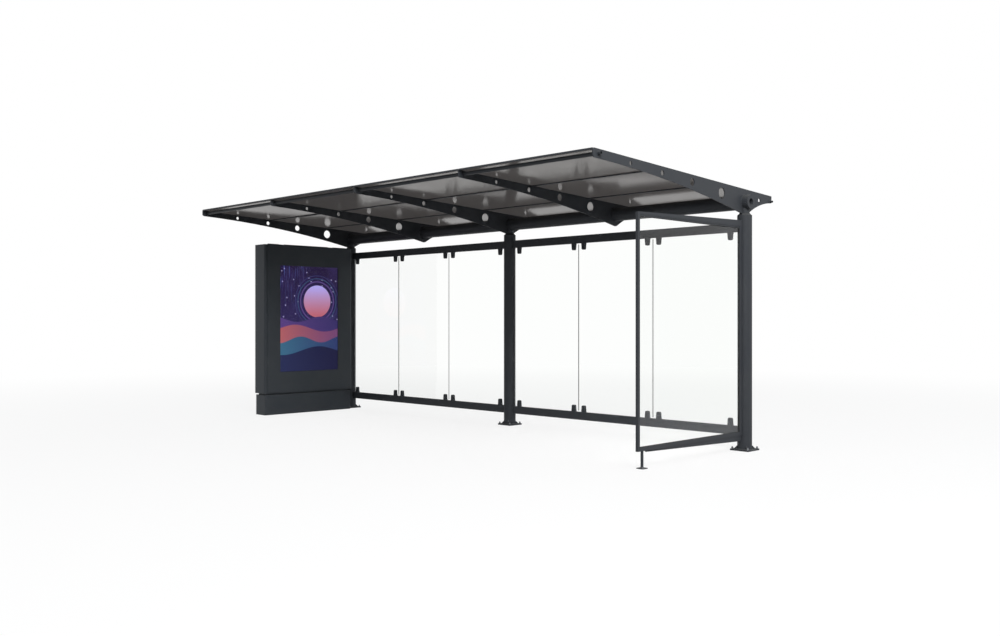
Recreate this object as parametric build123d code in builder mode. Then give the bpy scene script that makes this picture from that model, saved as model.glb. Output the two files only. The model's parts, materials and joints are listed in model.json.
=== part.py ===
from build123d import *
import os
from math import hypot

os.makedirs("parts", exist_ok=True)

# Bus shelter, sizes in millimetres. The origin is the centre of the middle
# post on the ground, +X runs along the shelter, +Y to its back and +Z up.

# Driving dimensions of the posts and their feet
post_spacing = 3000.0
post_diameter = 133.0
post_height = 2140.0
cap_rise = 21.0
neck_diameter = 89.0
base_side = 190.0
base_thickness = 15.0
anchor_spacing = 160.0
anchor_hole_diameter = 14.0
gusset_reach = 31.0
gusset_thickness = 8.0

# Driving dimensions of the ribs: depths are measured down from the top edge,
# and shares are parts of the length in front of the post or behind it
roof_fall = 0.0526
roof_rise = 241.0
rib_thickness = 10.0
rib_front = 2168.0
rib_rear = 472.0
rib_nose_depth = 74.0
rib_middle_depth = 102.0
rib_root_depth = 241.0
rib_root_y = 18.0
rib_tail_middle_depth = 107.5
rib_tail_depth = 66.0
nose_radius = 22.0
tip_radius = 12.0
root_radius = 60.0
arc_start_share = 0.964
arc_middle_share = 0.546
tail_middle_share = 0.593

# Round holes of a rib, from the front to the tail: place, depth and diameter
rib_holes = [
    (-1703.0, 44.6, 35.0),
    (-1277.0, 53.0, 45.0),
    (-847.0, 63.6, 68.0),
    (-388.0, 91.4, 100.0),
    (250.0, 71.0, 40.0),
]

# Driving dimensions of the beam, tubes, purlins and roof sheets
fit_gap = 0.2
beam_diameter = 133.0
beam_drop = 121.0
beam_bore_diameter = 64.0
beam_bore_depth = 40.0
beam_end_overhang = 63.0
front_tube_diameter = 33.7
front_tube_inset = 65.0
front_tube_drop = 35.0
rear_tube_diameter = 20.0
rear_tube_inset = 25.0
rear_tube_drop = 55.0
tube_end_overhang = 26.0
tube_wall = 5.0
tube_bore_depth = 24.0
tube_joint_gap = 2.0
purlin_width = 25.0
purlin_height = 8.0
purlin_front_inset = 925.0
purlin_rear_inset = 59.0
panel_thickness = 6.0
panel_sink = 4.0
panel_side_gap = 2.0
trim_depth = 14.0
trim_thickness = 9.0

# Driving dimensions of the back wall
rail_height = 82.0
rail_thickness = 40.0
upper_rail_drop = 64.0
lower_rail_rise = 133.0
glass_thickness = 8.0
pane_gap = 10.0
pane_post_gap = 6.0
pane_rail_gap = 12.0
clamp_length = 70.0
clamp_width = 50.0
clamp_tip_width = 38.0
clamp_thickness = 30.0
clamp_tip_bevel = 8.0
clamp_joint_offset = 68.0
clamp_post_offset = 85.0

# Driving dimensions of the side wall
side_length = 1619.0
side_thickness = 25.0
side_glass_bottom = 173.0
side_glass_top_drop = 106.0
side_glass_inset = 8.0
top_rail_at_post = 60.0
top_rail_at_front = 19.0
channel_depth = 14.0
channel_thickness = 17.0
sill_height = 31.5
web_at_post = 54.5
web_at_front = 11.0
web_front_inset = 116.0
web_overlap = 1.0
web_thickness = 12.0
front_stile_width = 25.0
rear_stile_width = 35.0
leg_diameter = 24.0
leg_setback = 68.0
leg_collar_rise = 7.0
leg_foot_side = 68.0
leg_foot_thickness = 8.0

# Driving dimensions of the poster box
box_outreach = 89.0
box_width = 245.0
box_front = 1416.0
box_post_gap = 34.0
box_bottom = 268.0
box_top_drop = 21.0
plinth_inset = 12.0
plinth_gap_height = 19.0
plinth_gap_depth = 38.0
box_corner_radius = 24.0
door_thickness = 20.0
door_proud = 5.0
door_margin = 14.0
window_front_margin = 217.0
window_width = 876.0
window_bottom = 528.0
window_height = 1339.0
window_lip = 12.0
poster_thickness = 2.0
bracket_height = 60.0

# Values worked out from the driving dimensions
post_radius = post_diameter / 2
beam_radius = beam_diameter / 2
rib_spacing = post_spacing / 2
bay_width = rib_spacing - rib_thickness
bay_centres = [(bay - 1.5) * rib_spacing for bay in range(4)]
roof_height = post_height + roof_rise
slope_stretch = hypot(1, roof_fall)
sheet_depth = panel_sink + panel_thickness
front_tube_y = front_tube_inset - rib_front
rear_tube_y = rib_rear - rear_tube_inset
beam_height = roof_height - beam_drop
post_places = {"left": -post_spacing, "middle": 0.0, "right": post_spacing}
rib_places = {
    "left_end": -post_spacing,
    "left_bay": -rib_spacing,
    "middle": 0.0,
    "right_bay": rib_spacing,
    "right_end": post_spacing,
}
on_base = (Align.CENTER, Align.CENTER, Align.MIN)
under_top = (Align.CENTER, Align.CENTER, Align.MAX)


def save(piece, name):
    """Label a finished piece and write it as its own STEP file."""
    piece.part.label = name
    export_step(piece.part, f"parts/{name}.step")


def under_roof(y, depth):
    """A point of the Y-Z plane straight below the ribs' top edge."""
    return (y, roof_height - roof_fall * y - depth)


def roof_plane(x, y):
    """The plane of the ribs' top edges, with its origin over a point."""
    return Plane(
        origin=(x, y, roof_height - roof_fall * y),
        x_dir=(1, 0, 0),
        z_dir=(0, roof_fall, 1),
    )


# Posts: round tubes with a bevelled cap, a neck whose top is a saddle for the
# beam, a slot for the rib and four gussets
for side, x in post_places.items():
    with BuildPart() as post:
        with Locations((x, 0, base_thickness)):
            Cylinder(post_radius, post_height - base_thickness, align=on_base)
        with Locations((x, 0, post_height)):
            Cone(post_radius, neck_diameter / 2, cap_rise, align=on_base)
            Cylinder(neck_diameter / 2, beam_height - post_height, align=on_base)
            Box(
                rib_thickness + 2 * fit_gap,
                post_diameter,
                beam_height - post_height,
                align=on_base,
                mode=Mode.SUBTRACT,
            )
        with Locations(Location((x, 0, beam_height), (0, 90, 0))):
            Cylinder(beam_radius + fit_gap, post_diameter, mode=Mode.SUBTRACT)
        for corner in range(4):
            turn = 45 + 90 * corner
            upright = Plane(
                origin=(x, 0, base_thickness),
                x_dir=Vector(1, 0, 0).rotate(Axis.Z, turn),
                z_dir=Vector(0, -1, 0).rotate(Axis.Z, turn),
            )
            with BuildSketch(upright):
                Polygon(
                    (0, 0),
                    (post_radius + gusset_reach, 0),
                    (post_radius, gusset_reach),
                    (0, gusset_reach),
                    align=None,
                )
            extrude(amount=gusset_thickness / 2, both=True)
    save(post, f"post_{side}")

# Base plates with four anchor holes each
for side, x in post_places.items():
    with BuildPart() as base_plate:
        with Locations((x, 0, 0)):
            Box(base_side, base_side, base_thickness, align=on_base)
        with Locations((x, 0, base_thickness)):
            with GridLocations(anchor_spacing, anchor_spacing, 2, 2):
                Hole(anchor_hole_diameter / 2, depth=base_thickness)
    save(base_plate, f"base_plate_{side}")

# Ribs: flat plates whose lower edge is two arcs that meet behind the post's
# centre, pierced by round holes that grow towards it. Three have a stem that
# stands in a post's slot, and the beam carries the two between.
for place, x in rib_places.items():
    with BuildPart() as rib:
        with BuildSketch(Plane.YZ.offset(x)) as rib_outline:
            with BuildLine():
                front_arc = ThreePointArc(
                    under_roof(-arc_start_share * rib_front, rib_nose_depth),
                    under_roof(-arc_middle_share * rib_front, rib_middle_depth),
                    under_roof(rib_root_y, rib_root_depth),
                )
                tail_arc = ThreePointArc(
                    under_roof(rib_root_y, rib_root_depth),
                    under_roof(tail_middle_share * rib_rear, rib_tail_middle_depth),
                    under_roof(rib_rear, rib_tail_depth),
                )
                Polyline(
                    under_roof(rib_rear, rib_tail_depth),
                    under_roof(rib_rear, 0),
                    under_roof(-rib_front, 0),
                    under_roof(-rib_front, rib_nose_depth),
                    under_roof(-arc_start_share * rib_front, rib_nose_depth),
                )
            make_face()
            fillet(rib_outline.vertices().sort_by(Axis.Y)[0], root_radius)
            nose = rib_outline.vertices().group_by(Axis.X)[0].sort_by(Axis.Y)
            fillet(nose[0], nose_radius)
            nose = rib_outline.vertices().group_by(Axis.X)[0].sort_by(Axis.Y)
            fillet(nose[-1], tip_radius)
            tail = rib_outline.vertices().group_by(Axis.X)[-1].sort_by(Axis.Y)
            fillet(tail[0], tip_radius)
            if x in post_places.values():
                stem_top = beam_height - beam_radius
                with Locations((0, (post_height + stem_top) / 2)):
                    Rectangle(neck_diameter, stem_top - post_height)
            for hole_y, hole_depth, hole_diameter in rib_holes:
                with Locations(under_roof(hole_y, hole_depth)):
                    Circle(hole_diameter / 2, mode=Mode.SUBTRACT)
            with Locations((0, beam_height)):
                Circle(beam_radius + fit_gap, mode=Mode.SUBTRACT)
            with Locations(under_roof(front_tube_y, front_tube_drop)):
                Circle(front_tube_diameter / 2 + fit_gap, mode=Mode.SUBTRACT)
            with Locations(under_roof(rear_tube_y, rear_tube_drop)):
                Circle(rear_tube_diameter / 2 + fit_gap, mode=Mode.SUBTRACT)
        extrude(amount=rib_thickness / 2, both=True)
    save(rib, f"rib_{place}")

# Main beam: one round tube through the five ribs, with a bore in each end
beam_length = 2 * post_spacing + rib_thickness + 2 * beam_end_overhang
with BuildPart() as main_beam:
    with Locations(Location((0, 0, beam_height), (0, 90, 0))):
        Cylinder(beam_radius, beam_length)
    for end in (-1, 1):
        middle = end * (beam_length - beam_bore_depth) / 2
        with Locations(Location((middle, 0, beam_height), (0, 90, 0))):
            Cylinder(beam_bore_diameter / 2, beam_bore_depth, mode=Mode.SUBTRACT)
save(main_beam, "main_beam")

# Thin tubes through the ribs near their tips, each in two lengths that meet
# inside the middle rib, with a bore in the outer end
tube_length = post_spacing + rib_thickness / 2 + tube_end_overhang - tube_joint_gap / 2
tube_middle = (tube_length + tube_joint_gap) / 2
bore_middle = tube_middle + (tube_length - tube_bore_depth) / 2
tube_lines = {
    "front_tubes": (under_roof(front_tube_y, front_tube_drop), front_tube_diameter / 2),
    "rear_tubes": (under_roof(rear_tube_y, rear_tube_drop), rear_tube_diameter / 2),
}
for name, ((y, z), tube_radius) in tube_lines.items():
    with BuildPart() as tubes:
        for direction in (-1, 1):
            with Locations(Location((direction * tube_middle, y, z), (0, 90, 0))):
                Cylinder(tube_radius, tube_length)
            with Locations(Location((direction * bore_middle, y, z), (0, 90, 0))):
                Cylinder(tube_radius - tube_wall, tube_bore_depth, mode=Mode.SUBTRACT)
    save(tubes, name)

# Purlins: three evenly spaced lines of flat bars that carry the roof sheets,
# one length a bay
purlin_front = purlin_front_inset - rib_front
purlin_rear = rib_rear - purlin_rear_inset
with BuildPart() as purlins:
    for x in bay_centres:
        for y in (purlin_front, (purlin_front + purlin_rear) / 2, purlin_rear):
            with Locations(roof_plane(x, y).offset(-sheet_depth)):
                Box(bay_width, purlin_width, purlin_height, align=under_top)
save(purlins, "purlins")

# Dark strip along the front edge of the roof sheets
with BuildPart() as front_trim:
    for x in bay_centres:
        with Locations(roof_plane(x, trim_thickness / 2 - rib_front)):
            Box(bay_width, trim_thickness, trim_depth, align=under_top)
save(front_trim, "front_trim")

# Roof sheets: one a bay, lying on the purlins behind the dark strip
sheet_front = trim_thickness - rib_front
for bay, x in enumerate(bay_centres):
    with BuildPart() as roof_panel:
        middle = (sheet_front + rib_rear) / 2
        with Locations(roof_plane(x, middle).offset(-panel_sink)):
            Box(
                bay_width - 2 * panel_side_gap,
                (rib_rear - sheet_front) * slope_stretch,
                panel_thickness,
                align=under_top,
            )
    save(roof_panel, f"roof_panel_{bay + 1}")

# Back rails: flat tubes whose ends are cut to the round posts
upper_rail_top = post_height - upper_rail_drop
rail_bottoms = {"upper": upper_rail_top - rail_height, "lower": lower_rail_rise}
bay_sides = {"left": -1, "right": 1}
for level, bottom in rail_bottoms.items():
    for side, direction in bay_sides.items():
        with BuildPart() as rail:
            with Locations((direction * post_spacing / 2, 0, bottom)):
                Box(post_spacing, rail_thickness, rail_height, align=on_base)
            with Locations((0, 0, bottom), (direction * post_spacing, 0, bottom)):
                Cylinder(
                    post_radius + fit_gap,
                    rail_height,
                    align=on_base,
                    mode=Mode.SUBTRACT,
                )
        save(rail, f"{level}_rail_{side}")

# Back glass: three equal panes between two posts
pane_bottom = lower_rail_rise + rail_height + pane_rail_gap
pane_top = rail_bottoms["upper"] - pane_rail_gap
clear_width = post_spacing - post_diameter - 2 * pane_post_gap
pane_width = (clear_width - 2 * pane_gap) / 3
pane_centres = [
    direction * (post_spacing / 2 + step * (pane_width + pane_gap))
    for direction in (-1, 1)
    for step in (-direction, 0, direction)
]
for number, x in enumerate(sorted(pane_centres)):
    with BuildPart() as back_glass:
        with Locations((x, 0, pane_bottom)):
            Box(pane_width, glass_thickness, pane_top - pane_bottom, align=on_base)
    save(back_glass, f"back_glass_{number + 1}")

# Glass clamps: tapered tongues on the rails, slotted for the panes' edges
first_joint = post_radius + pane_post_gap + pane_width + pane_gap / 2
clamp_steps = [
    post_radius + clamp_post_offset,
    first_joint - clamp_joint_offset,
    first_joint + clamp_joint_offset,
]
clamp_steps += [post_spacing - step for step in clamp_steps]
clamp_places = clamp_steps + [-step for step in clamp_steps]
clamp_rows = {"upper": (rail_bottoms["upper"], -1), "lower": (pane_bottom - pane_rail_gap, 1)}
for level, (rail_face, direction) in clamp_rows.items():
    with BuildPart() as clamps:
        for x in clamp_places:
            with BuildSketch(Plane.XZ) as tongue:
                with Locations((x, rail_face)):
                    Polygon(
                        (-clamp_width / 2, 0),
                        (clamp_width / 2, 0),
                        (clamp_tip_width / 2, direction * clamp_length),
                        (-clamp_tip_width / 2, direction * clamp_length),
                        align=None,
                    )
                tips = tongue.vertices().sort_by(Axis.Y)
                chamfer(tips[:2] if direction < 0 else tips[2:], clamp_tip_bevel)
            extrude(amount=clamp_thickness / 2, both=True)
            slot_middle = rail_face + direction * (pane_rail_gap + clamp_length / 2)
            with Locations((x, 0, slot_middle)):
                Box(
                    clamp_width,
                    glass_thickness + 2 * fit_gap,
                    clamp_length,
                    mode=Mode.SUBTRACT,
                )
    save(clamps, f"{level}_clamps")

# Side wall: a tapered top rail with a glazing channel over two stiles, on a
# sill with a tapered web
side_x = post_spacing
side_back = -post_radius
side_glass_top = post_height - side_glass_top_drop
front_stile_y = front_stile_width / 2 - side_length
rear_stile_y = side_back - rear_stile_width / 2 - fit_gap
opening_front = front_stile_width - side_length
opening_back = side_back - rear_stile_width - fit_gap
glass_slot = glass_thickness + 2 * fit_gap
with BuildPart() as side_top_rail:
    with BuildSketch(Plane.YZ.offset(side_x)):
        Polygon(
            (0, side_glass_top),
            (0, side_glass_top + top_rail_at_post),
            (-side_length, side_glass_top + top_rail_at_front),
            (-side_length, side_glass_top),
            align=None,
        )
    extrude(amount=side_thickness / 2, both=True)
    with Locations((side_x, 0, side_glass_top)):
        Cylinder(post_radius + fit_gap, rail_height, align=on_base, mode=Mode.SUBTRACT)
    channel_length = opening_back - opening_front - 2 * fit_gap
    with Locations((side_x, (opening_front + opening_back) / 2, side_glass_top)):
        Box(channel_thickness, channel_length, channel_depth, align=under_top)
        Box(glass_slot, channel_length, channel_depth, align=under_top, mode=Mode.SUBTRACT)
save(side_top_rail, "side_top_rail")

with BuildPart() as side_bottom_rail:
    sill_bottom = side_glass_bottom - sill_height
    with BuildSketch(Plane.YZ.offset(side_x)):
        Polygon(
            (0, sill_bottom),
            (0, side_glass_bottom),
            (-side_length, side_glass_bottom),
            (-side_length, sill_bottom),
            align=None,
        )
    extrude(amount=side_thickness / 2, both=True)
    with BuildSketch(Plane.YZ.offset(side_x)):
        Polygon(
            (0, sill_bottom - web_at_post),
            (0, sill_bottom + web_overlap),
            (web_front_inset - side_length, sill_bottom + web_overlap),
            (web_front_inset - side_length, sill_bottom - web_at_front),
            align=None,
        )
    extrude(amount=web_thickness / 2, both=True)
    with Locations((side_x, 0, 0)):
        Cylinder(
            post_radius + fit_gap,
            2 * side_glass_bottom,
            align=on_base,
            mode=Mode.SUBTRACT,
        )
save(side_bottom_rail, "side_bottom_rail")

# Stiles: a grooved upright at each end of the side glass
stile_height = side_glass_top - side_glass_bottom
stiles = {
    "side_front_stile": (front_stile_y, front_stile_width, 1),
    "side_rear_stile": (rear_stile_y, rear_stile_width, -1),
}
for name, (y, stile_width, inward) in stiles.items():
    with BuildPart() as stile:
        with Locations((side_x, y, side_glass_bottom)):
            Box(side_thickness, stile_width, stile_height, align=on_base)
        groove_y = y + inward * (stile_width - side_glass_inset) / 2
        with Locations((side_x, groove_y, side_glass_bottom)):
            Box(glass_slot, side_glass_inset, stile_height, align=on_base, mode=Mode.SUBTRACT)
    save(stile, name)

with BuildPart() as side_glass:
    glass_front = opening_front - side_glass_inset
    glass_back = opening_back + side_glass_inset
    with Locations((side_x, (glass_front + glass_back) / 2, side_glass_bottom)):
        Box(glass_thickness, glass_back - glass_front, stile_height, align=on_base)
save(side_glass, "side_glass")

# Leg under the front corner of the side wall, with a collar on a square foot
with BuildPart() as side_leg:
    leg_y = leg_setback - side_length
    with Locations((side_x, leg_y, 0)):
        Box(leg_foot_side, leg_foot_side, leg_foot_thickness, align=on_base)
        Cylinder(leg_diameter / 2, sill_bottom, align=on_base)
    with Locations((side_x, leg_y, leg_foot_thickness)):
        Cone(leg_diameter / 2 + leg_collar_rise, leg_diameter / 2, leg_collar_rise, align=on_base)
    foot_edge = side_leg.faces().filter_by(GeomType.PLANE).group_by(Axis.Z)[1].edges()
    chamfer(foot_edge.filter_by(GeomType.LINE), leg_foot_thickness / 3)
save(side_leg, "side_leg")

# Poster box: plinth, rounded body, door with a window, poster and back panel
box_outer_x = -post_spacing - box_outreach
box_x = box_outer_x + box_width / 2
inner_x = box_outer_x + box_width
box_top = post_height - box_top_drop
box_back = -post_radius - box_post_gap
box_length = box_front + box_back
box_y = (box_back - box_front) / 2
plinth_height = box_bottom - plinth_gap_height
with BuildPart() as box_plinth:
    with Locations((box_x, box_y, 0)):
        Box(
            box_width - 2 * plinth_inset,
            box_length - 2 * plinth_inset,
            plinth_height,
            align=on_base,
        )
    fillet(box_plinth.edges().filter_by(Axis.Z), box_corner_radius - plinth_inset)
    with Locations((box_x, box_y, plinth_height)):
        Box(
            box_width - 2 * plinth_gap_depth,
            box_length - 2 * plinth_gap_depth,
            plinth_gap_height,
            align=on_base,
        )
save(box_plinth, "box_plinth")

window_front = window_front_margin - box_front
window_y = window_front + window_width / 2
window_z = window_bottom + window_height / 2
door_length = box_length - 2 * box_corner_radius - 2 * door_margin
door_height = box_top - box_bottom - 2 * door_margin
door_z = (box_top + box_bottom) / 2
recess = door_thickness - door_proud
with BuildPart() as box_body:
    with Locations((box_x, box_y, box_bottom)):
        Box(box_width, box_length, box_top - box_bottom, align=on_base)
    fillet(box_body.edges().filter_by(Axis.Z), box_corner_radius)
    for face_x in (inner_x, box_outer_x):
        with Locations((face_x, box_y, door_z)):
            Box(2 * recess, door_length, door_height, mode=Mode.SUBTRACT)
save(box_body, "box_body")

sheet_width = window_width + 2 * window_lip
sheet_height = window_height + 2 * window_lip
with BuildPart() as box_door:
    with Locations((inner_x - recess + door_thickness / 2, box_y, door_z)):
        Box(door_thickness, door_length, door_height)
    fillet(box_door.edges().filter_by(Axis.X), box_corner_radius / 4)
    with Locations((inner_x, window_y, window_z)):
        Box(2 * door_thickness, window_width, window_height, mode=Mode.SUBTRACT)
    rebate_depth = door_thickness / 2
    with Locations((inner_x - recess + rebate_depth / 2, window_y, window_z)):
        Box(rebate_depth, sheet_width, sheet_height, mode=Mode.SUBTRACT)
save(box_door, "box_door")

with BuildPart() as poster_sheet:
    with Locations((inner_x - recess + poster_thickness / 2, window_y, window_z)):
        Box(poster_thickness, sheet_width - 1, sheet_height - 1)
save(poster_sheet, "poster_sheet")

poster_glass_thickness = rebate_depth - poster_thickness
with BuildPart() as poster_glass:
    glass_x = inner_x - recess + poster_thickness + poster_glass_thickness / 2
    with Locations((glass_x, window_y, window_z)):
        Box(poster_glass_thickness, sheet_width - 1, sheet_height - 1)
save(poster_glass, "poster_glass")

with BuildPart() as box_back_panel:
    with Locations((box_outer_x + recess - door_thickness / 2, box_y, door_z)):
        Box(door_thickness, door_length, door_height)
    fillet(box_back_panel.edges().filter_by(Axis.X), box_corner_radius / 4)
save(box_back_panel, "box_back_panel")

# Brackets between the box and the left post, at its top and bottom
with BuildPart() as box_brackets:
    for z in (box_bottom + bracket_height, box_top - 2 * bracket_height):
        with Locations((-post_spacing, box_back / 2, z)):
            Box(post_radius, -box_back, bracket_height, align=on_base)
        with Locations((-post_spacing, 0, z)):
            Cylinder(
                post_radius + fit_gap,
                bracket_height,
                align=on_base,
                mode=Mode.SUBTRACT,
            )
save(box_brackets, "box_brackets")
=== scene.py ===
import json
import math

import bpy
import numpy as np
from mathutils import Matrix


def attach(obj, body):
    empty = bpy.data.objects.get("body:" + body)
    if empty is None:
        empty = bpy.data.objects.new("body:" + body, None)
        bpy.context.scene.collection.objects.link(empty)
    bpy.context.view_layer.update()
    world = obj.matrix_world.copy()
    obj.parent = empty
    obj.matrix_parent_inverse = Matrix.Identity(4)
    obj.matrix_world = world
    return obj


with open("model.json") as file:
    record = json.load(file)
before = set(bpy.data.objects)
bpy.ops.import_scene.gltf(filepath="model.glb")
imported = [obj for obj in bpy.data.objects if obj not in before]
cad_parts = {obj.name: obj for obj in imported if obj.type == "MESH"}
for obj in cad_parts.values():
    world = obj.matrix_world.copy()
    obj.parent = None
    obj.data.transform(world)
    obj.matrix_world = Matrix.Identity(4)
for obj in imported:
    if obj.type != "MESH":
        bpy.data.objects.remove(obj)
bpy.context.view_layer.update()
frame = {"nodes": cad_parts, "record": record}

scene = bpy.context.scene
MM = 0.001


# Sizes of the shelter that the small pieces sit on, in millimetres

post_spacing = 3000.0
post_radius = 66.5
post_height = 2140.0
cap_rise = 21.0
neck_radius = 44.5
base_thickness = 15.0
anchor_spacing = 160.0
rib_half = 5.0
rib_front = 2168.0
rib_rear = 472.0
roof_height = 2381.0
roof_fall = 0.0526
sheet_top_depth = 4.0
trim_thickness = 9.0
beam_height = 2260.0
beam_radius = 66.5
pane_bottom = 227.0
pane_top = 1982.0
pane_gap = 10.0
pane_joints = (1022.5, 1977.5)
pane_end_middle = 69.7
pane_end_half = 3.0
clamp_thickness = 30.0
clamp_steps = (151.5, 954.5, 1090.5, 1909.5, 2045.5, 2848.5)
clamp_screw_inset = 22.0
side_length = 1619.0
sill_bolt_height = 155.0
side_front = -1594.0
side_back = -101.7
side_bottom = 173.0
side_channel_bottom = 2020.0
side_glass_half = 4.0
leg_y = -1551.0
foot_top = 8.0
foot_bolt_step = 24.0
window_front = -1199.0
window_back = -323.0
window_bottom = 528.0
window_top = 1867.0
window_glass_x = -2849.0
box_inner_x = -2844.0
box_top = 2119.0
door_front = -1378.0
door_back = -138.5
knuckle_lines = (-1185.0, -450.0)
knuckle_inset = 4.0
knuckle_clearance = 36.0

# Y, Z and radius of the thin tubes
front_tube = (-2103.0, 2456.6, 16.85)
rear_tube = (447.0, 2302.5, 10.0)

# What a seal or strip stands off the face that it lies on
bedding = 0.1


# Node helpers


def hex_colour(code):
    """An sRGB hex colour such as 3c4046 as linear red, green, blue and alpha."""
    parts = [int(code[i : i + 2], 16) / 255 for i in (0, 2, 4)]
    linear = [c / 12.92 if c <= 0.04045 else ((c + 0.055) / 1.055) ** 2.4 for c in parts]
    return (*linear, 1.0)


def add(tree, kind, inputs=None, **settings):
    """Add a node, give it its settings, and fill or link its inputs."""
    node = tree.nodes.new(kind)
    for name, value in settings.items():
        setattr(node, name, value)
    for socket, value in (inputs or {}).items():
        if isinstance(value, bpy.types.NodeSocket):
            tree.links.new(value, node.inputs[socket])
        else:
            node.inputs[socket].default_value = value
    return node


def new_material(name):
    """An empty node material and its output node."""
    material = bpy.data.materials.new(name)
    material.use_nodes = True
    material.node_tree.nodes.clear()
    return material, add(material.node_tree, "ShaderNodeOutputMaterial")


# Materials


def powder_coat(name, code, dust_code, roughness, grain_mm):
    """Polyester powder coat on steel: a matt dark film whose fine leathery
    grain breaks up the highlights. Thin dust dulls it in soft patches and
    settles on faces that look up."""
    material, output = new_material(name)
    tree = material.node_tree
    place = add(tree, "ShaderNodeTexCoord").outputs["Object"]
    grain = add(
        tree,
        "ShaderNodeTexNoise",
        {"Vector": place, "Scale": 1 / (grain_mm * MM), "Detail": 2.0},
    )
    patches = add(
        tree,
        "ShaderNodeTexNoise",
        {"Vector": place, "Scale": 1 / (380 * MM), "Detail": 5.0, "Roughness": 0.6},
    )
    facing = add(tree, "ShaderNodeNewGeometry").outputs["Normal"]
    upward = add(tree, "ShaderNodeSeparateXYZ", {"Vector": facing}).outputs["Z"]
    settled = add(
        tree,
        "ShaderNodeMapRange",
        {"Value": upward, "From Min": 0.3, "From Max": 1.0, "To Min": 0.0, "To Max": 0.35},
    )
    veil = add(
        tree,
        "ShaderNodeMapRange",
        {"Value": patches.outputs["Fac"], "From Min": 0.35, "From Max": 0.75, "To Max": 0.12},
    )
    dust = add(
        tree,
        "ShaderNodeMath",
        {0: settled.outputs["Result"], 1: veil.outputs["Result"]},
        operation="ADD",
    )
    tint = add(
        tree,
        "ShaderNodeMix",
        {0: dust.outputs[0], 6: hex_colour(code), 7: hex_colour(dust_code)},
        data_type="RGBA",
    )
    dull = add(
        tree,
        "ShaderNodeMapRange",
        {
            "Value": patches.outputs["Fac"],
            "From Min": 0.3,
            "From Max": 0.7,
            "To Min": roughness - 0.04,
            "To Max": roughness + 0.06,
        },
    )
    bump = add(
        tree,
        "ShaderNodeBump",
        {"Height": grain.outputs["Fac"], "Strength": 0.15, "Distance": 0.15 * MM},
    )
    shader = add(
        tree,
        "ShaderNodeBsdfPrincipled",
        {
            "Base Color": tint.outputs[2],
            "Roughness": dull.outputs["Result"],
            "Normal": bump.outputs["Normal"],
            "IOR": 1.5,
            "Specular IOR Level": 0.16,
        },
    )
    tree.links.new(shader.outputs["BSDF"], output.inputs["Surface"])
    return material


def pane_glass(name, code, ior):
    """Float glass: clear and mirror smooth, with a coat against reflections
    that shows as an IOR below the 1.5 of bare glass. Lamp rays pass straight
    through, so that panes throw no dark shadow."""
    material, output = new_material(name)
    tree = material.node_tree
    shader = add(
        tree,
        "ShaderNodeBsdfPrincipled",
        {
            "Base Color": hex_colour(code),
            "Roughness": 0.0,
            "IOR": ior,
            "Transmission Weight": 1.0,
        },
    )
    clear = add(tree, "ShaderNodeBsdfTransparent", {"Color": hex_colour(code)})
    rays = add(tree, "ShaderNodeLightPath")
    mix = add(
        tree,
        "ShaderNodeMixShader",
        {0: rays.outputs["Is Shadow Ray"], 1: shader.outputs["BSDF"], 2: clear.outputs["BSDF"]},
    )
    tree.links.new(mix.outputs["Shader"], output.inputs["Surface"])
    return material


def smoked_glass(name, code):
    """Toughened roof glass tinted a warm smoke grey: it lets a little skylight
    glow through, and is a soft mirror where it is seen along its surface, with
    slow waves from the hardening rollers that bend what it mirrors and patches
    of dried rain film that blur it."""
    material, output = new_material(name)
    tree = material.node_tree
    place = add(tree, "ShaderNodeTexCoord").outputs["Object"]
    waves = add(
        tree,
        "ShaderNodeTexNoise",
        {"Vector": place, "Scale": 1 / (300 * MM), "Detail": 1.0},
    )
    bump = add(
        tree,
        "ShaderNodeBump",
        {"Height": waves.outputs["Fac"], "Strength": 0.02, "Distance": 2 * MM},
    )
    rain_film = add(
        tree,
        "ShaderNodeTexNoise",
        {"Vector": place, "Scale": 1 / (450 * MM), "Detail": 6.0, "Roughness": 0.65},
    )
    blur = add(
        tree,
        "ShaderNodeMapRange",
        {
            "Value": rain_film.outputs["Fac"],
            "From Min": 0.4,
            "From Max": 0.7,
            "To Min": 0.11,
            "To Max": 0.17,
        },
    )
    shader = add(
        tree,
        "ShaderNodeBsdfPrincipled",
        {
            "Base Color": hex_colour(code),
            "Roughness": blur.outputs["Result"],
            "IOR": 1.5,
            "Specular Tint": hex_colour("f6e6d2"),
            "Normal": bump.outputs["Normal"],
        },
    )
    skylight = add(tree, "ShaderNodeBsdfTranslucent", {"Color": hex_colour("bcb9b8")})
    mix = add(
        tree,
        "ShaderNodeMixShader",
        {0: 0.38, 1: shader.outputs["BSDF"], 2: skylight.outputs["BSDF"]},
    )
    tree.links.new(mix.outputs["Shader"], output.inputs["Surface"])
    return material


def plain_surface(name, code, roughness, metallic, grain_mm, depth_mm):
    """A small part's surface: one colour with a fine grain that scatters its
    shine, from rubber to dull plated steel."""
    material, output = new_material(name)
    tree = material.node_tree
    place = add(tree, "ShaderNodeTexCoord").outputs["Object"]
    grain = add(
        tree,
        "ShaderNodeTexNoise",
        {"Vector": place, "Scale": 1 / (grain_mm * MM), "Detail": 3.0},
    )
    bump = add(
        tree,
        "ShaderNodeBump",
        {"Height": grain.outputs["Fac"], "Strength": 0.3, "Distance": depth_mm * MM},
    )
    shader = add(
        tree,
        "ShaderNodeBsdfPrincipled",
        {
            "Base Color": hex_colour(code),
            "Roughness": roughness,
            "Metallic": metallic,
            "Normal": bump.outputs["Normal"],
        },
    )
    tree.links.new(shader.outputs["BSDF"], output.inputs["Surface"])
    return material


# Inks of the poster

# Each of these functions gives pairs of where an ink lies, as a share from 0
# to 1, and the ink's colour. Across is the film's Y, height is its Z, and flat
# holds both as X and Y. The sky is the ground under them all.


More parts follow.
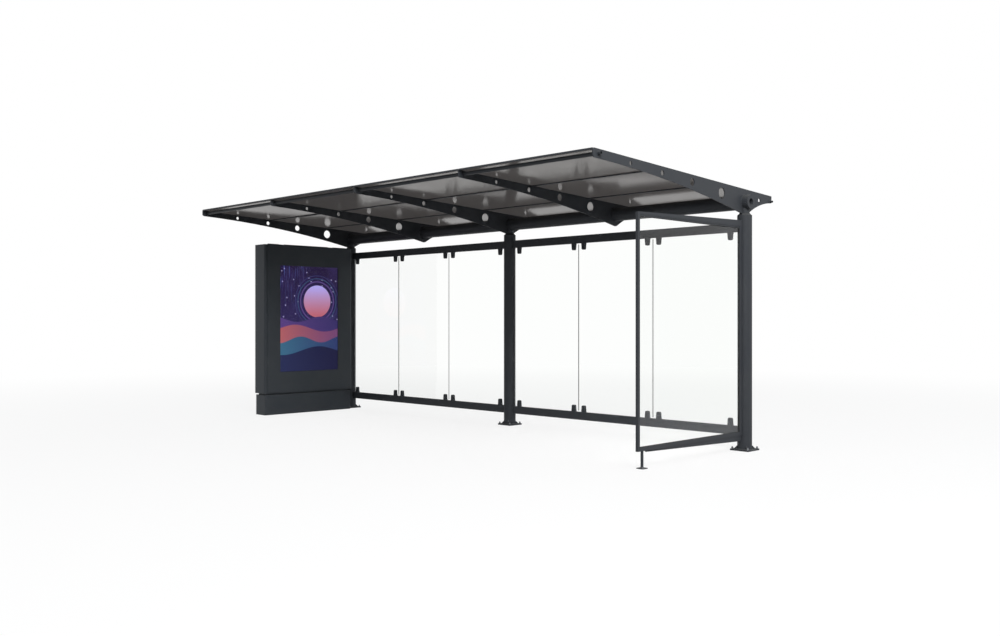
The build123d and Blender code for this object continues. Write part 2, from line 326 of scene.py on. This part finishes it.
def night_sky(tree, height):
    """The print's ground: violet at the foot and darker towards the top."""
    rise = add(
        tree,
        "ShaderNodeMapRange",
        {"Value": height, "From Min": window_bottom * MM, "From Max": window_top * MM},
    )
    sky = add(
        tree,
        "ShaderNodeMix",
        {0: rise.outputs["Result"], 6: hex_colour("463f78"), 7: hex_colour("3a2c56")},
        data_type="RGBA",
    )
    return sky.outputs[2]


def haze_inks(tree, flat):
    """Soft lighter clouds in the sky, about 330 mm wide."""
    clouds = add(
        tree, "ShaderNodeTexNoise", {"Vector": flat, "Scale": 1 / (330 * MM), "Detail": 3.0}
    )
    share = add(
        tree,
        "ShaderNodeMapRange",
        {"Value": clouds.outputs["Fac"], "From Min": 0.45, "From Max": 0.75, "To Max": 0.6},
    )
    return [(share.outputs["Result"], hex_colour("574889"))]


def thread_inks(tree, flat, across, height):
    """A curtain of fine upright threads: noise about 15 mm wide, drawn out in
    height, that fades in towards the upper left corner."""
    drawn = add(
        tree, "ShaderNodeVectorMath", {0: flat, 1: (1.0, 0.06, 0.0)}, operation="MULTIPLY"
    )
    strands = add(
        tree,
        "ShaderNodeTexNoise",
        {"Vector": drawn.outputs[0], "Scale": 1 / (15 * MM), "Detail": 1.0},
    )
    share = add(
        tree,
        "ShaderNodeMapRange",
        {"Value": strands.outputs["Fac"], "From Min": 0.56, "From Max": 0.68, "To Max": 0.75},
    ).outputs["Result"]
    for along, first_mm, last_mm in ((height, 1250, 1750), (across, -700, -1050)):
        fade = add(
            tree,
            "ShaderNodeMapRange",
            {"Value": along, "From Min": first_mm * MM, "From Max": last_mm * MM},
        )
        share = add(
            tree, "ShaderNodeMath", {0: share, 1: fade.outputs["Result"]}, operation="MULTIPLY"
        ).outputs[0]
    return [(share, hex_colour("6878c0"))]


def dot_inks(tree, flat):
    """Scattered round dots of two sizes: one in each cell of a Voronoi pattern,
    with the cells' width in millimetres and the dot's radius as a share of it."""
    inks = []
    for cell_mm, radius_share, code in ((52, 0.07, "6f68a6"), (130, 0.055, "c9c4e6")):
        cells = add(
            tree,
            "ShaderNodeTexVoronoi",
            {"Vector": flat, "Scale": 1 / (cell_mm * MM)},
            voronoi_dimensions="2D",
        )
        dots = add(
            tree,
            "ShaderNodeMath",
            {0: cells.outputs["Distance"], 1: radius_share},
            operation="LESS_THAN",
        )
        inks.append((dots.outputs[0], hex_colour(code)))
    return inks


def disc_inks(tree, flat, height):
    """Three thin rings around a disc that turns from coral at its foot to
    lavender: a ring lies where the distance from the disc's centre is within
    half the ring's width of its radius."""
    centre = (-640 * MM, 1420 * MM, 0.0)
    reach = add(
        tree, "ShaderNodeVectorMath", {0: flat, 1: centre}, operation="DISTANCE"
    ).outputs["Value"]
    inks = []
    for radius_mm, width_mm, code in ((330, 5, "5a5f9e"), (292, 8, "55749f"), (252, 14, "7a63a6")):
        ring = add(
            tree,
            "ShaderNodeMath",
            {0: reach, 1: radius_mm * MM, 2: width_mm * MM / 2},
            operation="COMPARE",
        )
        inks.append((ring.outputs[0], hex_colour(code)))
    disc = add(tree, "ShaderNodeMath", {0: reach, 1: 205 * MM}, operation="LESS_THAN")
    rise = add(
        tree,
        "ShaderNodeMapRange",
        {"Value": height, "From Min": 1235 * MM, "From Max": 1600 * MM},
    )
    shade = add(
        tree,
        "ShaderNodeMix",
        {0: rise.outputs["Result"], 6: hex_colour("c98391"), 7: hex_colour("c4bde4")},
        data_type="RGBA",
    )
    inks.append((disc.outputs[0], shade.outputs[2]))
    return inks


def band_inks(tree, across, height):
    """Rolling bands, each in front of the one before: all that lies below a
    level plus a sine wave, in a colour that changes from left to right."""
    slide = add(
        tree,
        "ShaderNodeMapRange",
        {"Value": across, "From Min": window_front * MM, "From Max": window_back * MM},
    ).outputs["Result"]
    # Level and swing in millimetres, the wave's radians a metre and its start,
    # and the colours at the left and the right
    bands = (
        (1190, 34, 9.0, 0.6, "6f5596", "514684"),
        (1075, 46, 7.0, 2.1, "b87479", "8f5f8f"),
        (930, 40, 10.0, 4.2, "4b7c96", "455489"),
        (790, 50, 6.0, 5.3, "353b66", "2b2b55"),
    )
    inks = []
    for level_mm, swing_mm, pace, start, left_code, right_code in bands:
        angle = add(
            tree, "ShaderNodeMath", {0: across, 1: pace, 2: start}, operation="MULTIPLY_ADD"
        )
        wave = add(tree, "ShaderNodeMath", {0: angle.outputs[0]}, operation="SINE")
        edge = add(
            tree,
            "ShaderNodeMath",
            {0: wave.outputs[0], 1: swing_mm * MM, 2: level_mm * MM},
            operation="MULTIPLY_ADD",
        )
        below = add(
            tree, "ShaderNodeMath", {0: height, 1: edge.outputs[0]}, operation="LESS_THAN"
        )
        band = add(
            tree,
            "ShaderNodeMix",
            {0: slide, 6: hex_colour(left_code), 7: hex_colour(right_code)},
            data_type="RGBA",
        )
        inks.append((below.outputs[0], band.outputs[2]))
    return inks


def printed_film(name):
    """Backlit poster film with a made-up abstract print in muted inks, each
    laid over those before it: a violet night sky with haze, a curtain of
    threads and scattered dots, a ringed disc and rolling bands of colour."""
    material, output = new_material(name)
    tree = material.node_tree
    place = add(tree, "ShaderNodeTexCoord").outputs["Object"]
    sides = add(tree, "ShaderNodeSeparateXYZ", {"Vector": place})
    across, height = sides.outputs["Y"], sides.outputs["Z"]
    flat = add(tree, "ShaderNodeCombineXYZ", {"X": across, "Y": height}).outputs["Vector"]
    inks = [
        *haze_inks(tree, flat),
        *thread_inks(tree, flat, across, height),
        *dot_inks(tree, flat),
        *disc_inks(tree, flat, height),
        *band_inks(tree, across, height),
    ]
    colour = night_sky(tree, height)
    for share, ink in inks:
        printed = add(tree, "ShaderNodeMix", {0: share, 6: colour, 7: ink}, data_type="RGBA")
        colour = printed.outputs[2]
    shader = add(
        tree,
        "ShaderNodeBsdfPrincipled",
        {
            "Base Color": colour,
            "Roughness": 0.55,
            "IOR": 1.5,
            "Specular IOR Level": 0.2,
            "Emission Color": colour,
            "Emission Strength": 0.4,
        },
    )
    tree.links.new(shader.outputs["BSDF"], output.inputs["Surface"])
    return material


frame_coat = powder_coat(
    "powder_coated_steel_frame", "3b3e43", "6b6a66", roughness=0.5, grain_mm=1.6
)
box_coat = powder_coat(
    "powder_coated_sheet_cabinet", "3e4349", "6b6a66", roughness=0.46, grain_mm=1.2
)
clear_pane = pane_glass("toughened_low_reflection_glass", "fdfefd", ior=1.26)
window_pane = pane_glass("anti_reflective_window_glass", "fdfdfe", ior=1.15)
roof_sheet = smoked_glass("smoked_toughened_glass", "34312e")
poster_print = printed_film("backlit_printed_film")
seal_rubber = plain_surface(
    "black_epdm_rubber", "202122", roughness=0.7, metallic=0.0, grain_mm=2.0, depth_mm=0.05
)
bolt_steel = plain_surface(
    "dull_zinc_plated_steel", "7f8286", roughness=0.55, metallic=1.0, grain_mm=1.0, depth_mm=0.02
)

finishes = {
    "frame_paint": frame_coat,
    "box_paint": box_coat,
    "clear_glass": clear_pane,
    "poster_glass": window_pane,
    "roof_sheet": roof_sheet,
    "poster": poster_print,
}
slots = {row["node"]: row["material_slot"] for row in frame["record"]["subparts"]}
for name, node in frame["nodes"].items():
    node.data.materials.clear()
    node.data.materials.append(finishes[slots[name]])


# Shape helpers

# A shape is an array of points in millimetres and a list of arrays of faces,
# each array with one number of corners.


def grid_faces(rows, columns):
    """The quads between neighbouring rows of a point grid whose columns close
    into a ring."""
    here = np.arange(columns)
    there = (here + 1) % columns
    row = np.arange(rows - 1)[:, None] * columns
    corners = (row + here, row + there, row + columns + there, row + columns + here)
    return np.stack(corners, axis=2).reshape(-1, 4)


def looped_faces(rows, columns):
    """The quads of a point grid whose columns and rows both close into rings."""
    return grid_faces(rows + 1, columns) % (rows * columns)


def ringed(rings):
    """A closed shape from an array of rings of points, each a loop with the
    same number of corners, with a flat lid on the first and last."""
    rows, columns = rings.shape[:2]
    first = np.arange(columns)[::-1][None, :]
    last = (rows - 1) * columns + np.arange(columns)[None, :]
    return rings.reshape(-1, 3), [grid_faces(rows, columns), first, last]


def turned(profile, sides):
    """A shape turned about Z: each profile row gives a radius and a height,
    and corner j of its ring stands at the angle 2 pi j / sides."""
    profile = np.asarray(profile, dtype=float)
    angle = 2 * math.pi * np.arange(sides) / sides
    rings = np.empty((len(profile), sides, 3))
    rings[..., 0] = profile[:, 0:1] * np.cos(angle)
    rings[..., 1] = profile[:, 0:1] * np.sin(angle)
    rings[..., 2] = profile[:, 1:2]
    return ringed(rings)


def hexagon(across_flats, profile):
    """A six-sided head or nut about Z: each profile row gives the largest
    radius and a height, and that radius cuts the hexagon's corners as a cone
    does."""
    profile = np.asarray(profile, dtype=float)
    steps = 24
    angle = 2 * math.pi * np.arange(steps) / steps
    flat_radius = across_flats / 2 / np.cos(np.mod(angle, math.pi / 3) - math.pi / 6)
    radius = np.minimum(flat_radius, profile[:, 0:1])
    rings = np.empty((len(profile), steps, 3))
    rings[..., 0] = radius * np.cos(angle)
    rings[..., 1] = radius * np.sin(angle)
    rings[..., 2] = profile[:, 1:2]
    return ringed(rings)


def swept(outline, path, first_axis, second_axis):
    """A bar: the outline's two columns run along two fixed axes, and the bar
    follows the path's points with a flat lid on each end."""
    outline = np.asarray(outline, dtype=float)
    across = outline[:, 0:1] * np.asarray(first_axis, dtype=float)
    across = across + outline[:, 1:2] * np.asarray(second_axis, dtype=float)
    return ringed(np.asarray(path, dtype=float)[:, None, :] + across[None, :, :])


def bead_ring(radius, bead, ripples):
    """A weld bead around Z at height 0: a ring with a six-sided cross-section,
    whose radius, bead, swells and shrinks by a tenth as the welder's steps go
    round."""
    steps, sides = 72, 6
    around = 2 * math.pi * np.arange(steps) / steps
    turn = (2 * math.pi * np.arange(sides) / sides)[:, None]
    size = bead * (1 + 0.1 * np.cos(ripples * around))
    out = radius + size * np.cos(turn)
    points = np.stack((out * np.cos(around), out * np.sin(around), size * np.sin(turn)), axis=2)
    return points.reshape(-1, 3), [looped_faces(sides, steps)]


def upright_seals(half_width, lines):
    """Rubber bars as tall as the panes at some places along the back wall,
    each with faces that bulge at the front and back."""
    edge, bulge = 3.6, 4.6
    quarter = half_width / 2
    outline = [
        (-half_width, -edge),
        (-quarter, -bulge),
        (quarter, -bulge),
        (half_width, -edge),
        (half_width, edge),
        (quarter, bulge),
        (-quarter, bulge),
        (-half_width, edge),
    ]
    spans = [[(x, 0, pane_bottom), (x, 0, pane_top)] for x in lines]
    return joined([swept(outline, span, (1, 0, 0), (0, 1, 0)) for span in spans])


def glazing_loop(plane_x, side, opening, width, depth):
    """A rubber bead around an opening, given by its front, back, bottom and
    top, on one face of its glass: a quarter of an ellipse, as wide and deep as
    given, swept round the four corners with mitred joints."""
    front, back, bottom, top = opening
    corners = np.array([(front, bottom), (back, bottom), (back, top), (front, top)])
    bow = np.linspace(0, math.pi / 2, 5)
    inward = np.concatenate([[0.0], width * np.cos(bow)])
    outward = np.concatenate([[0.0], depth * np.sin(bow)])
    towards = np.sign(corners.mean(axis=0) - corners)
    rings = np.empty((len(inward), 4, 3))
    rings[..., 0] = plane_x + side * outward[:, None]
    rings[..., 1:] = corners[None] + inward[:, None, None] * towards[None]
    faces = looped_faces(len(inward), 4)
    return rings.reshape(-1, 3), [faces[:, ::-1] if side > 0 else faces]


def joined(shapes):
    """Several shapes as one."""
    points, faces, count = [], [], 0
    for shape_points, shape_faces in shapes:
        points.append(shape_points)
        faces.extend(group + count for group in shape_faces)
        count += len(shape_points)
    return np.concatenate(points), faces


# Turns for copies: the rows say where a shape's own X, Y and Z then point
UP = np.eye(3)
TO_FRONT = np.array([[1.0, 0, 0], [0, 0, 1], [0, -1, 0]])
TO_BACK = np.array([[-1.0, 0, 0], [0, 0, 1], [0, 1, 0]])
TO_RIGHT = np.array([[0, 1.0, 0], [0, 0, 1], [1, 0, 0]])


def copies(shape, places, turn):
    """One copy of a shape at each place, its own axes along the rows of turn."""
    points, faces = shape
    places = np.asarray(places, dtype=float)
    moved = (points @ turn)[None, :, :] + places[:, None, :]
    shift = len(points) * np.arange(len(places))[:, None, None]
    groups = [(group[None] + shift).reshape(-1, group.shape[1]) for group in faces]
    return moved.reshape(-1, 3), groups


def add_piece(name, shape, material):
    """Make one object of a shape, fixed to the shelter, smooth but for its
    sharp edges."""
    points, faces = shape
    mesh = bpy.data.meshes.new(name)
    corners = [corner for group in faces for corner in group.tolist()]
    mesh.from_pydata((points * MM).tolist(), [], corners)
    mesh.polygons.foreach_set("use_smooth", np.ones(len(corners), dtype=bool))
    mesh.set_sharp_from_angle(angle=math.radians(38))
    mesh.materials.append(material)
    piece = bpy.data.objects.new(name, mesh)
    scene.collection.objects.link(piece)
    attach(piece, "root")


def roof_line(y, depth):
    """The height of a point straight below the ribs' top edge."""
    return roof_height - roof_fall * y - depth


# Small pieces

post_lines = (-post_spacing, 0.0, post_spacing)
rib_lines = [rib * post_spacing / 2 for rib in range(-2, 3)]

# Anchor bolts: a washer, a hexagon nut and the end of a threaded stud in each
# hole of the base plates
nut_top = 12.5
thread_radius = 6.0
thread_depth = 0.5
half_pitch = 0.9
washer = turned([(12.0, 0.0), (12.0, 2.0), (11.4, 2.5)], sides=20)
nut = hexagon(19.0, [(10.2, 2.5), (11.5, 3.3), (11.5, 11.0), (9.7, nut_top)])
thread = [
    (thread_radius - thread_depth * (row % 2), nut_top + half_pitch * row) for row in range(9)
]
stud = turned(thread + [(4.8, 21.0)], sides=12)
half = anchor_spacing / 2
anchor_places = [
    (x + side_x * half, side_y * half, base_thickness)
    for x in post_lines
    for side_x in (-1, 1)
    for side_y in (-1, 1)
]
add_piece("anchor_bolts", copies(joined([washer, nut, stud]), anchor_places, UP), bolt_steel)

# Two small bolts in the foot of the side wall's leg
small_bolt = joined(
    [
        turned([(8.0, 0.0), (8.0, 1.2), (7.6, 1.6)], sides=16),
        hexagon(10.0, [(6.2, 1.6), (6.2, 5.0), (5.1, 6.2)]),
    ]
)
foot_places = [
    (post_spacing + side * foot_bolt_step, leg_y - side * foot_bolt_step, foot_top)
    for side in (-1, 1)
]
add_piece("foot_bolts", copies(small_bolt, foot_places, UP), bolt_steel)

# The bolt in the front end of the side wall's sill
end_place = [(post_spacing, -side_length, sill_bolt_height)]
add_piece("sill_end_bolt", copies(small_bolt, end_place, TO_FRONT), frame_coat)

# Button-head screws with a hollow for the key, on both faces of each clamp
screw = turned(
    [(7.0, 0.0), (7.0, 1.0), (6.2, 2.8), (4.6, 3.9), (3.0, 4.0), (2.8, 2.2)], sides=18
)
clamp_lines = [side * step for side in (-1, 1) for step in clamp_steps]
screw_levels = (pane_bottom + clamp_screw_inset, pane_top - clamp_screw_inset)
screws = []
for side, turn in ((-1, TO_FRONT), (1, TO_BACK)):
    places = [(x, side * clamp_thickness / 2, z) for x in clamp_lines for z in screw_levels]
    screws.append(copies(screw, places, turn))
add_piece("clamp_screws", joined(screws), frame_coat)

# Weld beads where the beam and the thin tubes pass the ribs, round each neck
# and at the foot of each post
beam_bead = copies(
    bead_ring(beam_radius, bead=4.0, ripples=40),
    [(x + side * rib_half, 0.0, beam_height) for x in rib_lines for side in (-1, 1)],
    TO_RIGHT,
)
tube_beads = [
    copies(
        bead_ring(radius, bead=2.2, ripples=12),
        [(side * (post_spacing + rib_half), y, z) for side in (-1, 1)],
        TO_RIGHT,
    )
    for y, z, radius in (front_tube, rear_tube)
]
neck_bead = copies(
    bead_ring(neck_radius, bead=3.0, ripples=30),
    [(x, 0.0, post_height + cap_rise) for x in post_lines],
    UP,
)
foot_bead = copies(
    bead_ring(post_radius, bead=4.5, ripples=42),
    [(x, 0.0, base_thickness) for x in post_lines],
    UP,
)
add_piece("weld_beads", joined([beam_bead, *tube_beads, neck_bead, foot_bead]), frame_coat)

# Rubber joints between neighbouring panes, and rubber bonded to the panes' ends
# beside the posts
joint_lines = [side * joint for side in (-1, 1) for joint in pane_joints]
add_piece("pane_joint_seals", upright_seals(pane_gap / 2 - bedding, joint_lines), seal_rubber)
end_lines = [
    side * line
    for side in (-1, 1)
    for line in (pane_end_middle, post_spacing - pane_end_middle)
]
add_piece("pane_end_seals", upright_seals(pane_end_half, end_lines), seal_rubber)

# Glazing beads on both faces of the side glass and round the poster window
side_opening = (side_front, side_back, side_bottom, side_channel_bottom)
window_opening = (window_front, window_back, window_bottom, window_top)
glazing_beads = []
for side in (-1, 1):
    face_x = post_spacing + side * (side_glass_half + bedding)
    glazing_beads.append(glazing_loop(face_x, side, side_opening, width=5.0, depth=4.5))
window_face_x = window_glass_x + bedding
glazing_beads.append(glazing_loop(window_face_x, 1, window_opening, width=4.0, depth=5.0))
add_piece("glazing_beads", joined(glazing_beads), seal_rubber)

# Rubber strips between the roof sheets and the ribs, on the sheets' top face
strip_front = trim_thickness - rib_front
strip_outline = [(0.0, -4.0), (6.0, 0.0), (5.2, 1.8), (3.0, 3.0), (0.0, 3.4)]
roof_strips = []
for x in rib_lines:
    for side in (-1, 1):
        if abs(x + side * rib_half) < post_spacing:
            path = [
                (x + side * (rib_half + bedding), y, roof_line(y, sheet_top_depth))
                for y in (strip_front, rib_rear)[:: -side]
            ]
            roof_strips.append(swept(strip_outline, path, (side, 0, 0), (0, 0, 1)))
add_piece("roof_sheet_strips", joined(roof_strips), seal_rubber)

# Hinge knuckles of the poster door along its top edge
knuckle = turned([(5.0, -32.0), (6.0, -31.0), (6.0, 31.0), (5.0, 32.0)], sides=16)
knuckle_places = [(box_inner_x - knuckle_inset, y, box_top) for y in knuckle_lines]
add_piece("door_hinge_knuckles", copies(knuckle, knuckle_places, TO_BACK), box_coat)

# Rain strip along the door's top edge, in lengths that stop short of the hinges:
# a thin foot on the cabinet's top and an upstand in line with the door
rain_outline = [
    (-19.0, bedding),
    (1.0, bedding),
    (1.0, 8.0),
    (0.2, 8.9),
    (-0.9, 8.9),
    (-1.6, 8.0),
    (-1.6, 2.1),
    (-19.0, 2.1),
]
rain_stops = [y + side * knuckle_clearance for y in knuckle_lines for side in (-1, 1)]
rain_ends = [door_front, *rain_stops, door_back]
rain_lengths = [
    swept(rain_outline, [(box_inner_x, y, box_top) for y in span], (1, 0, 0), (0, 0, 1))
    for span in zip(rain_ends[1::2], rain_ends[0::2])
]
add_piece("door_rain_strip", joined(rain_lengths), box_coat)


# Floor and backdrop


def background_rays(tree):
    """1 for rays that should see the white background: those of the camera
    and those that a mirror or a pane passes on."""
    rays = add(tree, "ShaderNodeLightPath")
    seen = rays.outputs["Is Camera Ray"]
    for kind in ("Is Glossy Ray", "Is Transmission Ray"):
        seen = add(
            tree, "ShaderNodeMath", {0: seen, 1: rays.outputs[kind]}, operation="MAXIMUM"
        ).outputs[0]
    return seen


def white_floor(name):
    """A matt floor that shows almost white and keeps the shelter's shadow near
    it, fades to pure white further out, and throws only a grey light back."""
    material, output = new_material(name)
    tree = material.node_tree
    seen = background_rays(tree)
    place = add(tree, "ShaderNodeNewGeometry").outputs["Position"]
    distance = add(tree, "ShaderNodeVectorMath", {0: place}, operation="LENGTH")
    fade = add(
        tree,
        "ShaderNodeMapRange",
        {
            "Value": distance.outputs["Value"],
            "From Min": 3.0,
            "From Max": 14.0,
            "To Min": 0.84,
            "To Max": 1.0,
        },
        interpolation_type="SMOOTHSTEP",
    )
    share = add(
        tree, "ShaderNodeMath", {0: seen, 1: fade.outputs["Result"]}, operation="MULTIPLY"
    )
    shade = add(
        tree,
        "ShaderNodeMix",
        {0: seen, 6: hex_colour("7a7a7a"), 7: hex_colour("f4f4f4")},
        data_type="RGBA",
    )
    matt = add(tree, "ShaderNodeBsdfDiffuse", {"Color": shade.outputs[2]})
    glow = add(tree, "ShaderNodeEmission", {"Color": (1, 1, 1, 1), "Strength": 1.0})
    mix = add(
        tree,
        "ShaderNodeMixShader",
        {0: share.outputs[0], 1: matt.outputs[0], 2: glow.outputs[0]},
    )
    tree.links.new(mix.outputs[0], output.inputs["Surface"])
    return material


floor_reach = 90.0
floor_mesh = bpy.data.meshes.new("studio_floor")
floor_mesh.from_pydata(
    [(x * floor_reach, y * floor_reach, 0.0) for x, y in ((-1, -1), (1, -1), (1, 1), (-1, 1))],
    [],
    [(0, 1, 2, 3)],
)
floor_mesh.materials.append(white_floor("matt_white_floor"))
floor = bpy.data.objects.new("studio_floor", floor_mesh)
scene.collection.objects.link(floor)

world = bpy.data.worlds.new("studio")
scene.world = world
world.use_nodes = True
tree = world.node_tree
tree.nodes.clear()
seen = background_rays(tree)
dome = add(tree, "ShaderNodeBackground", {"Color": (0.96, 0.98, 1.0, 1.0), "Strength": 0.52})
white = add(tree, "ShaderNodeBackground", {"Color": (1, 1, 1, 1), "Strength": 1.0})
mix = add(tree, "ShaderNodeMixShader", {0: seen, 1: dome.outputs[0], 2: white.outputs[0]})
world_output = add(tree, "ShaderNodeOutputWorld")
tree.links.new(mix.outputs[0], world_output.inputs["Surface"])


# Lamps


def soft_lamp(name, place, aim, size, power):
    """A square area lamp that faces a point, with its power in watts."""
    data = bpy.data.lights.new(name, "AREA")
    data.size = size
    data.energy = power
    lamp = bpy.data.objects.new(name, data)
    scene.collection.objects.link(lamp)
    lamp.location = place
    direction = np.subtract(aim, place)
    level = math.hypot(direction[0], direction[1])
    lamp.rotation_euler = (
        math.pi / 2 + math.atan2(direction[2], level),
        0.0,
        math.atan2(direction[1], direction[0]) - math.pi / 2,
    )


soft_lamp("key_softbox", (9.3, -5.8, 8.0), aim=(0.5, -0.5, 1.2), size=5.0, power=820)
soft_lamp("side_softbox", (11.0, 2.0, 5.0), aim=(1.0, 0.0, 1.2), size=4.0, power=100)

# Camera of the photograph: level, 35 mm lens on a 36 mm wide frame
camera_data = bpy.data.cameras.new("camera")
camera_data.lens = 35.0
camera_data.sensor_width = 36.0
camera_data.clip_end = 300.0
camera = bpy.data.objects.new("camera", camera_data)
scene.collection.objects.link(camera)
camera.location = (7.6945, -7.8512, 1.2054)
camera.rotation_euler = (math.radians(90), 0.0, math.radians(45))
scene.camera = camera

scene.view_settings.view_transform = "Standard"
